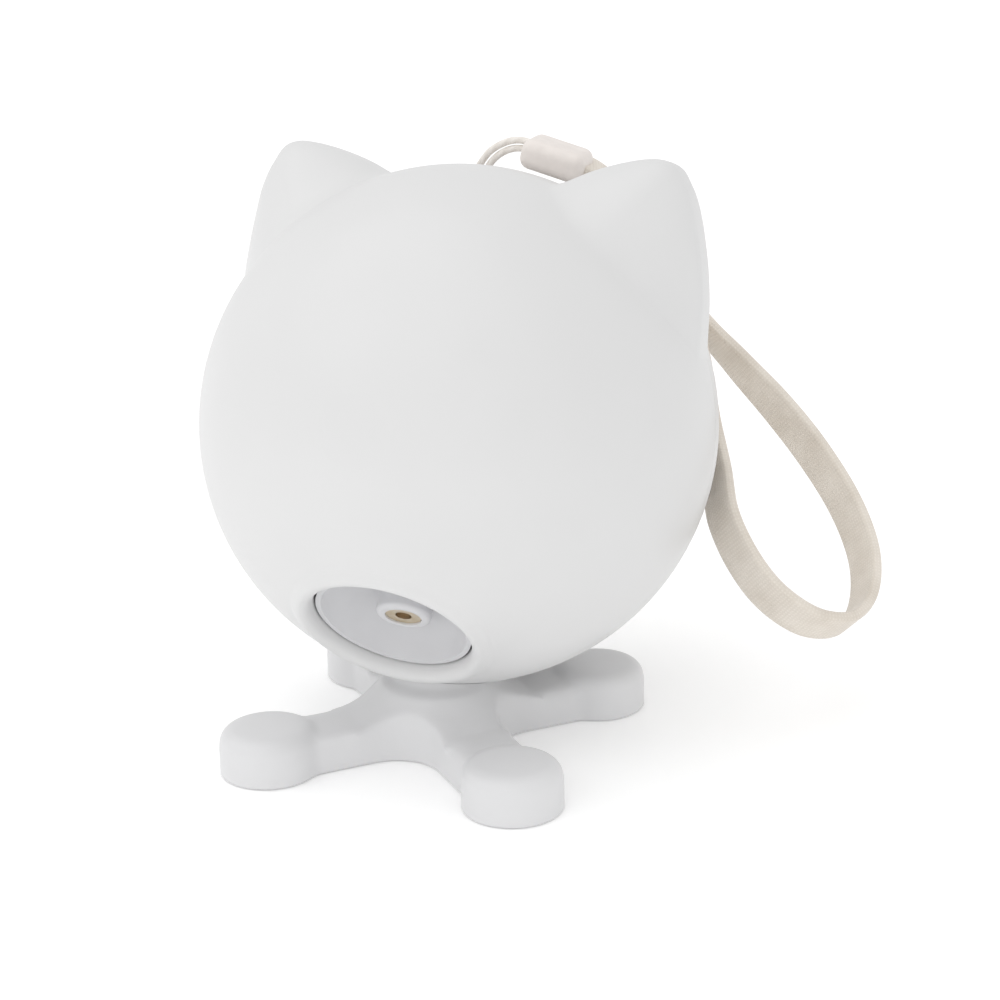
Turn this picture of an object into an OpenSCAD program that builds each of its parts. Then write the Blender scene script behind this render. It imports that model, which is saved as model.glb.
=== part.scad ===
/* [Head] */
// Outer radius of the ball-shaped head
head_r = 44; // [42:0.5:48]
// Wall thickness of the two head shells
shell_wall = 2; // [1.6:0.1:2.4]
// Angle by which the head leans back on its stand
head_tilt = 15; // [8:1:20]
// Distance of the parting seam behind the middle of the ball
seam_y = 4.4; // [3:0.2:5]
// Length of the locating tongue that reaches across the seam
tongue_len = 2; // [1:0.2:3]
// Gap between the tongue and the wall that it slides into
tongue_gap = 0.2; // [0.1:0.05:0.4]

/* [Ears] */
// Distance from the ball centre to the centre of an ear's round tip
ear_reach = 53.8; // [51:0.2:57]
// Angle of an ear's middle line from the head's upright line
ear_splay = 37.2; // [32:0.5:42]
// Radius of the rounding at an ear's tip
ear_tip_r = 4; // [3:0.2:5]
// Half of the angle between an ear's two sides
ear_half_angle = 44; // [38:1:48]
// Slope of an ear's front face towards the tip
ear_front_slope = 31; // [24:1:36]
// Slope of an ear's back face towards the tip
ear_back_slope = 8.5; // [5:0.5:11]
// Distance of an ear's middle plane in front of the ball centre
ear_forward = 1.6; // [0:0.2:3]

/* [Laser window] */
// Angle of the window's middle line below the head's own horizontal
window_drop = 53.3; // [50:0.5:56]
// Radius of the window opening
window_r = 13.5; // [12.5:0.1:14.5]
// Radius of the rolled lip round the window
lip_r = 1.6; // [1:0.1:2]
// Running gap between the laser turret and the window's wall
turret_gap = 0.35; // [0.25:0.05:0.6]
// Depth of the turret's bowl below its rim
bowl_depth = 8.3; // [7:0.1:9]
// Wall thickness of the turret's bowl
bowl_wall = 1.6; // [1.2:0.1:2.2]
// Outer radius of the nozzle that carries the laser
nozzle_r = 4.6; // [4.2:0.1:5.2]
// Length of the nozzle from its root to its face
nozzle_len = 11.5; // [10:0.1:12.5]
// Angle between the laser's beam and the turret's axis
beam_tilt = 8; // [4:0.5:10]
// Turn of the beam's tilt round the turret's axis at rest
beam_turn = 30; // [0:5:90]
// Radius of the brass laser barrel
barrel_r = 3; // [2.8:0.05:3.3]
// Length of the brass laser barrel
barrel_len = 10; // [8:0.2:10.4]
// Radius of the laser's aperture
aperture_r = 1.35; // [1:0.05:1.8]

/* [Gear train] */
// Module of all the gears
gear_module = 0.6; // [0.56:0.01:0.62]
// Teeth of the turret's gear
turret_teeth = 36; // [34:2:36]
// Teeth of the idler's large wheel
idler_teeth = 28; // [26:2:28]
// Teeth of the idler's small pinion and of the motor's pinion
pinion_teeth = 12; // [12:1:13]
// Width of each gear's face
gear_face = 2.6; // [2:0.1:2.8]
// Play between meshing teeth, measured along the pitch circle
backlash = 0.16; // [0.1:0.02:0.24]
// Radius of the turret's hollow neck
neck_r = 5; // [4.6:0.1:5.2]
// Radius of the bore through the turret's neck
neck_bore_r = 3.2; // [2.6:0.1:3.4]
// Radial running clearance of the turret's neck, the idler and the swivel post
run_gap = 0.06; // [0.03:0.01:0.09]
// Thickness of the chassis plate that carries the gears
chassis_t = 2.5; // [2:0.1:3]
// Distance of the chassis plate's inner face from the ball centre
chassis_z = 13; // [12.6:0.1:13.4]
// Radius of the idler's steel pin
idler_pin_r = 1.2; // [1:0.1:1.4]
// Radius of the motor can
motor_r = 9.8; // [9:0.1:10]
// Length of the motor can
motor_len = 22; // [18:0.5:24]
// Radius of the motor's shaft
motor_shaft_r = 0.75; // [0.7:0.05:1]

/* [Battery] */
// Number of cells side by side
cell_count = 3; // [3:1:3]
// Radius of one cell
cell_r = 5.25; // [5.1:0.05:5.3]
// Length of one cell without its nub
cell_len = 43.5; // [42.5:0.5:44]
// Distance between the middle lines of neighbouring cells
cell_pitch = 11; // [10.8:0.1:11.4]
// Distance of the cells' middle plane behind the ball centre
cell_y = 19; // [18.6:0.1:19.2]
// Height of the middle cell relative to the ball centre
cell_z = -4; // [-5:0.5:-3]
// Wall thickness of the battery box
box_wall = 1.2; // [1:0.1:1.4]
// Gap round the battery door
door_gap = 0.2; // [0.1:0.05:0.4]
// Radius of the battery door's corners
door_corner_r = 4; // [3:0.5:6]

/* [Controls and strap] */
// Angle of the power button from the head's upright line, down its back
button_angle = 52; // [50:1:56]
// Radius of the power button's cap
button_r = 4.8; // [4:0.1:5.4]
// Height of the power button above the shell
button_rise = 0.7; // [0.4:0.1:1.2]
// Travel of the power button
button_travel = 0.5; // [0.3:0.1:0.7]
// Gap between the button and its hole
button_gap = 0.2; // [0.1:0.05:0.3]
// Angle of the strap's pin from the head's upright line, down its back
anchor_angle = 16; // [14:1:20]
// Radius of the steel pin that the strap's cord goes round
strap_pin_r = 0.8; // [0.6:0.1:1]
// Radius of the recess round the strap's pin
recess_r = 4.2; // [3.6:0.1:4.6]
// Radius of one strand of the strap's cord
cord_r = 0.6; // [0.5:0.05:0.7]
// Width of the flat strap
strap_w = 8; // [6.5:0.5:9]
// Thickness of the flat strap
strap_t = 1.8; // [1.4:0.1:2]
// Thickness of the moulded block that joins the strap's ends
clasp_t = 5; // [4.4:0.2:5.4]

/* [Stand] */
// Distance of each toe's middle from the stand's middle
toe_reach = 30.6; // [28:0.2:34]
// Radius of each toe
toe_r = 8.04; // [7.2:0.1:9]
// Height of each toe
toe_h = 7.8; // [7:0.1:9]
// Rounding at the top of each toe
toe_round = 3; // [2:0.1:3.6]
// Width of each leg
leg_w = 11.6; // [10.6:0.2:13]
// Height of each leg
leg_h = 6.5; // [6:0.1:7]
// Rounding along the top edges of each leg
leg_round = 2.4; // [1.6:0.1:3]
// Radius of the hollow under the middle of the stand
hub_hollow_r = 9.8; // [9.4:0.1:10.4]
// Radius of the sweep from the legs up to the neck
neck_fillet = 2.4; // [1.6:0.1:2.6]
// Radius of the fillet between neighbouring legs
crotch_r = 8; // [6:0.5:10]
// Radius of the stand's neck
neck_out_r = 9; // [8.6:0.1:9.6]
// Height at which the post's axis crosses the stand's middle line
post_base_z = 3.7; // [3.4:0.1:4]
// Distance along the post's axis from there to the ball centre
head_rise = 50.2; // [50.2:0.1:52]
// Gap between the ball and the stand's seat
seat_gap = 0.3; // [0.2:0.05:0.5]
// Wall thickness of the stand
stand_wall = 2; // [1.6:0.1:2.4]
// Thickness of the plate that closes the stand from below
cover_t = 1.4; // [1.2:0.1:1.8]
// Height of the stand's edge and plate above the ground, which the pads fill
pad_proud = 0.3; // [0.2:0.1:0.5]
// Thickness of the pads under the stand
pad_t = 0.9; // [0.7:0.1:1.1]
// Radius of the pads under the toes
pad_r = 4.5; // [3.5:0.1:5]

/* [Swivel post] */
// Radius of the swivel post in the stand
post_r = 4; // [3.6:0.1:4.4]
// Length of the post inside the head
post_reach = 13.5; // [11:0.5:14]
// Depth of the flat that keys the post to the head
post_flat = 0.8; // [0.6:0.1:1]
// Radius of the collar that carries the head's weight
collar_r = 5.6; // [5.2:0.1:6.2]
// Thickness of the collar
collar_t = 1.2; // [1:0.1:1.5]
// Outer radius of the bush in the head
bush_r = 6; // [5.6:0.1:6.2]
// Gap between the post and the bush in the head
key_gap = 0.08; // [0.05:0.01:0.15]

/* [Hidden] */
$fn = 72;

// Fasteners
screw_r = 1.1;
screw_head_r = 2;
screw_head_t = 1.3;
boss_r = 3;
fit_gap = 0.05;
step = 0.01;
far = 100;

// Ball and seam
ball_in_r = head_r - shell_wall;
tongue_r = sqrt(pow(ball_in_r, 2) - pow(seam_y, 2)) - tongue_gap;
tongue_t = 1.2;
shell_screw_ring = 38;
shell_screw_spots = [[29, 24.5], [-29, 24.5], [24, -29.5], [-24, -29.5]];
front_boss_len = 14;

// Window and turret, measured along the window's axis from the ball centre
lip_z = sqrt(pow(head_r - lip_r, 2) - pow(window_r + lip_r, 2));
turret_r = window_r - turret_gap;
rim_z = lip_z - 0.2;
bowl_floor_z = rim_z - bowl_depth;
rim_edge = 0.85;
bowl_mouth_r = turret_r - rim_edge;
bowl_r = (pow(bowl_mouth_r, 2) + pow(bowl_depth, 2)) / (2 * bowl_depth);
bowl_z = bowl_floor_z + bowl_r;
bowl_back_z = bowl_floor_z - bowl_wall;
nozzle_root_z = bowl_floor_z - 5;
barrel_sink = 0.3;

// Gears, stacked along the window's axis
chassis_top = chassis_z + chassis_t;
wheel_z = chassis_top + 0.6;
pinion_z = wheel_z + gear_face + 0.5;
gear_z = pinion_z;
idler_x = gear_module * (turret_teeth + pinion_teeth) / 2;
motor_x = idler_x + gear_module * (idler_teeth + pinion_teeth) / 2;
pressure_angle = 25;
tooth_out = 0.9;
tooth_in = 1.2;
collar_len = 1.5;
neck_collar_r = neck_r + 2;
neck_end_z = chassis_z - collar_len - 1.8;
disc_t = 1.5;
disc_r = 8;
idler_top = pinion_z + gear_face;
motor_boss_r = 3;
motor_boss_h = 1.2;
chassis_spots = [[16.5, -6], [-16.5, -6], [15, 29], [-15, 29]];

// Battery box
cell_space = cell_len + 5;
box_x = cell_space / 2 + box_wall;
box_half_z = (cell_count - 1) / 2 * cell_pitch + cell_r + 0.4;
box_back_y = cell_y - cell_r - 0.3 - box_wall;
box_gap = 0.05;
door_x = cell_space / 2 + 0.6;
door_low_z = cell_z - box_half_z - 0.6;
door_top_z = 20.2;
door_screw_z = 17.1;
door_seat_y = 38.2;
door_pad_r = 2.9;
door_pad_y = door_seat_y - 1.4;
ledge_w = 7;

// Board
board_t = 1.6;
board_y = 7.2;
board_spots = [[17, 6], [-17, 6], [17, -12], [-17, -12]];

// Button
button_seat = ball_in_r - 3;
switch_top = ball_in_r - 4.6;
plunger_r = 1.7;
plunger_rise = button_travel + 0.1;
switch_board_z = switch_top - 4.8;
switch_board_t = 1.2;
switch_post_x = 8;
switch_peg_r = 0.8;

// Stand and post, with the post's own axis through post_base_z
seat_z = head_rise - head_r - seat_gap;
bearing_z = 0.5;
stand_screw_x = toe_reach - 8;
washer_r = 5;
washer_t = 0.6;
post_screw_r = 1.4;
collar_seat_z = seat_z - collar_t;
ball_bottom = head_rise - head_r;

// Frames
module in_head() {
    translate([0, 0, post_base_z])
        rotate([-head_tilt, 0, 0])
            translate([0, 0, head_rise])
                children();
}

module in_window() {
    in_head()
        rotate([90 + window_drop, 0, 0])
            children();
}

module in_post() {
    translate([0, 0, post_base_z])
        rotate([-head_tilt, 0, 0])
            children();
}

module in_button() {
    in_head()
        rotate([-button_angle, 0, 0])
            children();
}

module in_anchor() {
    in_head()
        rotate([-anchor_angle, 0, 0])
            translate([0, 0, head_r])
                children();
}

// A cylinder that lies along +Y from y0 to y1 at a place in the XZ plane
module rod_y(spot, y0, y1, r) {
    translate([spot[0], y1, spot[1]])
        rotate([90, 0, 0])
            cylinder(h = y1 - y0, r = r);
}

// A block with round corners seen from above, made from true arcs
module round_block(w, d, h, r) {
    linear_extrude(h)
        round_plate(w, d, r);
}

module round_plate(w, d, r) {
    square([w - 2 * r, d], center = true);
    square([w, d - 2 * r], center = true);
    for (sx = [-1, 1])
        for (sy = [-1, 1])
            translate([sx * (w / 2 - r), sy * (d / 2 - r)])
                circle(r);
}

// A pan-head screw along +Z, with its head's underside at z = 0
module screw(r, len, head_r, head_t) {
    difference() {
        union() {
            translate([0, 0, -len])
                cylinder(h = len + step, r = r);
            cylinder(h = head_t, r = head_r);
        }
        for (a = [0, 90])
            rotate([0, 0, a])
                translate([-head_r * 0.7, -head_r * 0.12, head_t * 0.5])
                    cube([head_r * 1.4, head_r * 0.24, head_t]);
    }
}

// Ears: a loft whose width and depth follow two straight sides that end in a round tip
function side_at(a, angle, inset) =
    let (r = ear_tip_r - inset)
    a < ear_reach + r * sin(angle)
        ? (ear_reach + r / sin(angle) - a) * tan(angle)
        : sqrt(max(0, r * r - pow(a - ear_reach, 2)));

function ear_levels(low, inset) = [
    for (i = [0 : 6]) low + (ear_reach - low) * i / 6,
    for (i = [1 : 5]) ear_reach + (ear_tip_r - inset) * sin(min(i * 17, 84))
];

function ear_ring(a, inset, sides) =
    let (
        w = side_at(a, ear_half_angle, inset),
        front = side_at(a, ear_front_slope, inset),
        back = min(side_at(a, ear_back_slope, inset), seam_y + ear_forward - inset)
    )
    [for (k = [0 : sides - 1])
        let (t = 360 * k / sides, c = cos(t), s = sin(t), q = pow(pow(abs(c), 2.4) + pow(abs(s), 2.4), -1 / 2.4))
        [w * c * q, (s < 0 ? front : back) * s * q - ear_forward, a]];

module ear_loft(low, inset, sides) {
    levels = ear_levels(low, inset);
    rings = [for (a = levels) ear_ring(a, inset, sides)];
    stack(rings);
}

// Joins rings of equal length into one closed solid
module stack(rings) {
    n = len(rings[0]);
    m = len(rings);
    points = [for (ring = rings) for (p = ring) p];
    walls = [
        for (i = [0 : m - 2])
            for (k = [0 : n - 1])
                let (a = i * n + k, b = i * n + (k + 1) % n)
                each [[a, a + n, b], [b, a + n, b + n]]
    ];
    caps = [
        [for (k = [0 : n - 1]) k],
        [for (k = [n - 1 : -1 : 0]) (m - 1) * n + k]
    ];
    polyhedron(points = points, faces = concat(walls, caps), convexity = 4);
}

module ears(low, inset, sides) {
    for (side = [-1, 1])
        rotate([0, side * ear_splay, 0])
            ear_loft(low, inset, sides);
}

// The space of the window, with the rolled lip left standing
module window_cut() {
    centre = [window_r + lip_r, lip_z];
    edge = centre * head_r / (head_r - lip_r);
    rotate_extrude()
        difference() {
            polygon([
                [0, chassis_top + 8],
                [window_r, chassis_top + 8],
                [window_r, lip_z],
                centre,
                edge,
                edge * 1.2,
                [0, head_r * 1.2]
            ]);
            translate(centre)
                circle(lip_r);
        }
}

module front_shell() {
    color("#f2f2f4")
        in_head() {
            difference() {
                union() {
                    sphere(head_r);
                    ears(36, 0, 28);
                }
                sphere(ball_in_r);
                ears(40, shell_wall, 16);
                translate([-far, seam_y, -far])
                    cube(2 * far);
                rotate([90 + window_drop, 0, 0])
                    window_cut();
                translate([0, 0, -head_r - 5])
                    cylinder(h = head_r, r = bush_r);
            }
            front_bosses();
        }
}

module front_bosses() {
    intersection() {
        sphere(ball_in_r + shell_wall / 2);
        difference() {
            union() {
                for (spot = shell_screw_spots)
                    rod_y(spot, seam_y - front_boss_len, seam_y, boss_r + 0.5);
                rotate([90 + window_drop, 0, 0])
                    for (spot = chassis_spots)
                        translate([spot[0], spot[1], chassis_top])
                            cylinder(h = head_r, r = boss_r);
            }
            for (spot = shell_screw_spots)
                rod_y(spot, seam_y - front_boss_len + 4, seam_y + 1, screw_r);
            rotate([90 + window_drop, 0, 0])
                for (spot = chassis_spots)
                    translate([spot[0], spot[1], chassis_top - 1])
                        cylinder(h = 8, r = screw_r);
        }
    }
}

// The outline of the battery door's opening, seen from behind
module door_outline(grow) {
    translate([0, (door_low_z + door_top_z) / 2, 0])
        round_plate(2 * (door_x + grow), door_top_z - door_low_z + 2 * grow, door_corner_r + grow);
}

module door_prism(grow) {
    rotate([90, 0, 0])
        mirror([0, 0, 1])
            linear_extrude(far)
                door_outline(grow);
}

module rear_shell() {
    color("#f2f2f4")
        difference() {
            in_head() {
                difference() {
                    sphere(head_r);
                    sphere(ball_in_r);
                    translate([-far, seam_y - 2 * far, -far])
                        cube(2 * far);
                    door_prism(door_gap);
                    translate([0, 0, -head_r - 5])
                        cylinder(h = head_r, r = bush_r);
                }
                rear_tongue();
                rear_bosses();
                door_ledge();
            }
            in_head()
                for (spot = shell_screw_spots) {
                    rod_y(spot, 0, far, screw_r + 0.15);
                    rod_y(spot, seam_y + 3, far, screw_head_r + 0.3);
                }
            in_button() {
                cylinder(h = far, r = button_r + button_gap);
            }
            in_anchor()
                translate([-4, 0, -5])
                    cylinder(h = far, r = recess_r);
            in_head()
                rod_y([0, door_screw_z], 0, far, screw_r + run_gap);
            strap_pin_rod(0);
        }
    color("#f2f2f4")
        anchor_cup();
    color("#f2f2f4")
        button_guide();
    color("#f2f2f4")
        switch_posts();
}

module rear_tongue() {
    difference() {
        intersection() {
            rod_y([0, 0], seam_y - tongue_len, seam_y + 5, tongue_r);
            sphere(ball_in_r + 0.2);
        }
        rod_y([0, 0], -far, far, tongue_r - tongue_t);
        for (spot = shell_screw_spots)
            rod_y(spot, -far, seam_y, boss_r + 0.9);
        translate([0, 0, -head_r])
            cylinder(h = head_r, r = bush_r + 0.2);
    }
}

module rear_bosses() {
    intersection() {
        sphere(ball_in_r + shell_wall / 2);
        for (spot = shell_screw_spots)
            rod_y(spot, seam_y, far / 2, boss_r + 0.5);
    }
}

// The ledge above the battery box that takes the door's screw
module door_ledge() {
    intersection() {
        sphere(ball_in_r + shell_wall / 2);
        union() {
            translate([-ledge_w / 2, door_pad_y - 4.3, door_screw_z - 2.9])
                cube([ledge_w, 4.25, 4.4]);
            translate([-ledge_w / 2, door_pad_y - 1.1, door_screw_z])
                cube([ledge_w, 1.05, 5]);
        }
    }
}

// A closed cup round the strap's pin
module anchor_cup() {
    difference() {
        intersection() {
            in_anchor()
                translate([-4, 0, -6])
                    cylinder(h = 9, r = recess_r + 1.2);
            in_head()
                sphere(ball_in_r + shell_wall / 2);
        }
        in_anchor()
            translate([-4, 0, -5])
                cylinder(h = far, r = recess_r);
        strap_pin_rod(0);
    }
}

// A short tube under the button's hole
module button_guide() {
    in_button()
        difference() {
            intersection() {
                translate([0, 0, button_seat + 1])
                    cylinder(h = 4, r = button_r + button_gap + 1.2);
                sphere(ball_in_r + shell_wall / 2);
            }
            cylinder(h = far, r = button_r + button_gap);
        }
}

// Two posts with pegs that carry the button's switch board
module switch_posts() {
    in_button()
        intersection() {
            for (side = [-1, 1])
                translate([side * switch_post_x, 0, 0]) {
                    translate([0, 0, switch_board_z + switch_board_t])
                        cylinder(h = head_r, r = 1.5);
                    translate([0, 0, switch_board_z - 0.4])
                        cylinder(h = 3, r = switch_peg_r);
                }
            sphere(ball_in_r + shell_wall / 2);
        }
}

module shell_screws() {
    color("silver")
        in_head()
            for (spot = shell_screw_spots)
                translate([spot[0], seam_y + 3, spot[1]])
                    rotate([-90, 0, 0])
                        screw(screw_r, 9, screw_head_r, screw_head_t);
}

module socket_bush() {
    color("#dcdcde")
        in_head()
            difference() {
                intersection() {
                    sphere(head_r);
                    translate([0, 0, -head_r - 1])
                        cylinder(h = post_reach + 3.5, r = bush_r - fit_gap);
                }
                translate([0, 0, -head_r - 2])
                    post_shape(post_reach + 2 + 0.3, key_gap);
            }
}

// The post's keyed length: a round bar with one flat
module post_shape(len, grow) {
    difference() {
        cylinder(h = len, r = post_r + grow);
        translate([-post_r - 1, post_r - post_flat + grow, -1])
            cube([2 * post_r + 2, post_r, len + 2]);
    }
}

module chassis() {
    color("#e0e0e2")
        in_window()
            difference() {
                union() {
                    intersection() {
                        translate([0, 11.5, chassis_z])
                            round_block(41, 50, chassis_t, 5);
                        sphere(ball_in_r - 1);
                    }
                    translate([0, 0, chassis_z - collar_len])
                        cylinder(h = collar_len + chassis_t, r = neck_collar_r);
                }
                translate([0, 0, chassis_z - collar_len - 1])
                    cylinder(h = 10, r = neck_r + run_gap);
                translate([0, idler_x, chassis_z - 1])
                    cylinder(h = 10, r = idler_pin_r);
                translate([0, motor_x, chassis_z - 1])
                    cylinder(h = 10, r = motor_boss_r + fit_gap);
                for (side = [-1, 1])
                    translate([side * 6.5, motor_x, chassis_z - 1])
                        cylinder(h = 10, r = screw_r);
                for (spot = chassis_spots)
                    translate([spot[0], spot[1], chassis_z - 1])
                        cylinder(h = 10, r = screw_r + 0.15);
            }
}

module chassis_screws() {
    color("silver")
        in_window()
            for (spot = chassis_spots)
                translate([spot[0], spot[1], chassis_z])
                    rotate([180, 0, 0])
                        screw(screw_r, chassis_t + 6, screw_head_r, screw_head_t);
}

module motor_can() {
    color("#b8bcc0")
        in_window()
            translate([0, motor_x, 0])
                difference() {
                    union() {
                        translate([0, 0, chassis_z - motor_len])
                            cylinder(h = motor_len, r = motor_r);
                        translate([0, 0, chassis_z])
                            cylinder(h = motor_boss_h, r = motor_boss_r);
                    }
                    translate([0, 0, chassis_z - 8])
                        cylinder(h = 12, r = motor_shaft_r + run_gap);
                    for (side = [-1, 1])
                        translate([side * 6.5, 0, chassis_z - 4])
                            cylinder(h = 5, r = screw_r);
                }
}

module motor_cap() {
    color("#2c2c2e")
        in_window()
            translate([0, motor_x, chassis_z - motor_len - 1.6])
                difference() {
                    cylinder(h = 1.6, r = motor_r - 0.8);
                    for (side = [-1, 1])
                        translate([side * 5 - 0.6, -1.2, -1])
                            cube([1.2, 2.4, 1.8]);
                }
}

module motor_screws() {
    color("silver")
        in_window()
            for (side = [-1, 1])
                translate([side * 6.5, motor_x, chassis_top])
                    screw(screw_r, chassis_t + 3, screw_head_r - 0.2, 0.9);
}

module idler_pin() {
    color("silver")
        in_window()
            translate([0, idler_x, chassis_z]) {
                cylinder(h = idler_top - chassis_z + 0.4, r = idler_pin_r);
                translate([0, 0, idler_top - chassis_z + 0.3])
                    cylinder(h = 0.6, r = idler_pin_r + 0.8);
            }
}

module contact_brushes() {
    color("#c9a35a")
        in_window()
            for (side = [-1, 1]) {
                translate([side * 5.5 - 0.6, -8, chassis_z - 1])
                    cube([1.2, 1.5, 1]);
                translate([side * 5.5 - 0.6, -7, neck_end_z + 0.2])
                    cube([1.2, 4, 0.3]);
                translate([side * 5.5 - 0.6, -8, neck_end_z + 0.2])
                    cube([1.2, 1, chassis_z - neck_end_z - 0.2]);
            }
}

module main_board() {
    color("#2f7a4d")
        in_head()
            difference() {
                translate([0, board_y + board_t, cell_z])
                    rotate([90, 0, 0])
                        round_block(42, 32, board_t, 2);
                for (spot = board_spots)
                    rod_y([spot[0], spot[1] + 3 + cell_z], 0, 20, screw_r + 0.1);
            }
}

module board_screws() {
    color("silver")
        in_head()
            for (spot = board_spots)
                translate([spot[0], board_y, spot[1] + 3 + cell_z])
                    rotate([90, 0, 0])
                        screw(screw_r, board_t + 4, screw_head_r, 1);
}

module board_chips() {
    color("#26262a")
        in_head() {
            translate([-4, board_y - 1.6, 0])
                cube([8, 1.6, 5]);
            translate([8, board_y - 1, -8])
                cube([5, 1, 4]);
            rod_y([-9, -12], board_y - 5.4, board_y, 2.5);
        }
}

module switch_board() {
    color("#2f7a4d")
        in_button()
            translate([0, 0, switch_board_z])
                difference() {
                    round_block(20, 12, switch_board_t, 1);
                    for (side = [-1, 1])
                        translate([side * switch_post_x, 0, -1])
                            cylinder(h = 4, r = switch_peg_r + fit_gap);
                }
}

module tact_switch() {
    color("#303034")
        in_button()
            difference() {
                translate([-3, -3, switch_board_z + switch_board_t])
                    cube([6, 6, switch_top - plunger_rise - switch_board_z - switch_board_t]);
                translate([0, 0, switch_top - 1.4 - button_travel])
                    cylinder(h = 3, r = plunger_r + button_gap / 2);
            }
}

module switch_plunger() {
    color("#1c1c1e")
        in_button()
            translate([0, 0, switch_top - 1.2])
                cylinder(h = 1.2, r = plunger_r);
}

module power_button() {
    color("#d8d8da")
        in_button()
            difference() {
                union() {
                    intersection() {
                        translate([0, 0, button_seat + 2])
                            cylinder(h = 10, r = button_r);
                        sphere(head_r + button_rise);
                    }
                    translate([0, 0, switch_top])
                        cylinder(h = button_seat + 2.1 - switch_top, r = 2.2);
                    translate([0, 0, button_seat])
                        cylinder(h = 1 - fit_gap, r = button_r + button_gap + 0.8);
                }
                translate([0, 0, head_r + button_rise + 14])
                    sphere(14.4);
            }
}

module battery_box() {
    color("#e6e6e8")
        in_head()
            difference() {
                intersection() {
                    union() {
                        translate([-box_x, box_back_y, cell_z - box_half_z - box_wall])
                            cube([2 * box_x, far, 2 * (box_half_z + box_wall)]);
                        for (spot = board_spots)
                            rod_y([spot[0], spot[1] + 3 + cell_z], board_y + board_t, box_back_y + 1, 2.4);
                    }
                    sphere(ball_in_r - box_gap);
                }
                for (i = [0 : cell_count - 1])
                    translate([0, 0, cell_z + (i - (cell_count - 1) / 2) * cell_pitch])
                        cell_trough();
                for (spot = board_spots)
                    rod_y([spot[0], spot[1] + 3 + cell_z], 0, box_back_y + 0.9, screw_r);
            }
}

module cell_trough() {
    translate([-cell_space / 2, cell_y, 0])
        rotate([0, 90, 0])
            cylinder(h = cell_space, r = cell_r + 0.3);
    translate([-cell_space / 2, cell_y, -cell_r - 0.3])
        cube([cell_space, far, 2 * (cell_r + 0.3)]);
}

module each_cell() {
    for (i = [0 : cell_count - 1])
        translate([0, cell_y, cell_z + (i - (cell_count - 1) / 2) * cell_pitch])
            rotate([0, i % 2 == 0 ? 90 : -90, 0])
                children();
}

module battery_cells() {
    color("#3a3d42")
        in_head()
            each_cell() {
                translate([0, 0, -cell_len / 2])
                    cylinder(h = cell_len, r = cell_r);
                translate([0, 0, cell_len / 2 - step])
                    cylinder(h = 0.9, r = 1.9);
            }
}

module cell_springs() {
    color("silver")
        in_head()
            each_cell()
                translate([0, 0, -cell_space / 2])
                    for (k = [0 : 2])
                        translate([0, 0, k * (cell_space / 2 - cell_len / 2) / 3])
                            rotate_extrude()
                                translate([3.6 - 0.7 * k, 0.4])
                                    circle(0.4, $fn = 20);
}

module cell_contacts() {
    color("silver")
        in_head()
            each_cell()
                translate([-3, -4, cell_space / 2 - 0.5])
                    cube([6, 8, 0.5]);
}

module battery_door() {
    color("#f2f2f4")
        in_head()
            difference() {
                union() {
                    intersection() {
                        difference() {
                            sphere(head_r);
                            sphere(ball_in_r);
                        }
                        door_prism(0);
                    }
                    intersection() {
                        union() {
                            for (i = [-1, 0, 1])
                                translate([-1 + i * 12, cell_y + cell_r + 0.3, cell_z - 12])
                                    cube([2, far, 24]);
                            rod_y([0, door_screw_z], door_pad_y, far, door_pad_r);
                        }
                        sphere(ball_in_r + step);
                    }
                }
                rod_y([0, door_screw_z], 0, far, screw_r + 0.15);
                rod_y([0, door_screw_z], door_seat_y, far, screw_head_r + 0.2);
            }
}

module door_screw() {
    color("silver")
        in_head()
            translate([0, door_seat_y, door_screw_z])
                rotate([-90, 0, 0])
                    screw(screw_r, 5, screw_head_r, screw_head_t);
}

// Turret
module turret() {
    color("#d9dadc")
        in_window()
            difference() {
                union() {
                    intersection() {
                        translate([0, 0, bowl_back_z])
                            cylinder(h = rim_z - bowl_back_z, r = turret_r);
                        difference() {
                            translate([0, 0, bowl_z])
                                sphere(bowl_r + bowl_wall);
                            translate([0, 0, bowl_z])
                                sphere(bowl_r);
                        }
                    }
                    translate([0, 0, neck_end_z])
                        cylinder(h = bowl_floor_z - neck_end_z, r = neck_r);
                    nozzle();
                }
                translate([0, 0, neck_end_z - 1])
                    cylinder(h = nozzle_root_z + 3 - neck_end_z, r = neck_bore_r);
                nozzle_frame()
                    cylinder(h = 20, r = barrel_r + fit_gap);
            }
}

module nozzle_frame() {
    rotate([0, 0, beam_turn])
        translate([0, 0, nozzle_root_z])
            rotate([beam_tilt, 0, 0])
                children();
}

module nozzle() {
    edge = 0.8;
    nozzle_frame()
        rotate_extrude() {
            square([nozzle_r, nozzle_len - edge]);
            square([nozzle_r - edge, nozzle_len]);
            translate([nozzle_r - edge, nozzle_len - edge])
                circle(edge);
        }
}

module laser_barrel() {
    color("#b08d57")
        in_window()
            nozzle_frame()
                translate([0, 0, nozzle_len - barrel_sink - barrel_len])
                    difference() {
                        cylinder(h = barrel_len, r = barrel_r);
                        translate([0, 0, barrel_len - 2.5])
                            cylinder(h = 5, r = aperture_r);
                    }
}

module laser_lens() {
    color("#7c2020")
        in_window()
            nozzle_frame()
                translate([0, 0, nozzle_len - barrel_sink - 2.5])
                    intersection() {
                        cylinder(h = 1.2, r = aperture_r - 0.02);
                        translate([0, 0, -2.8])
                            sphere(4);
                    }
}

// Involute tooth flank
function involute(base_r, r) =
    let (t = sqrt(pow(r / base_r, 2) - 1) * 180 / PI)
    t - atan(t * PI / 180);

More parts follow.
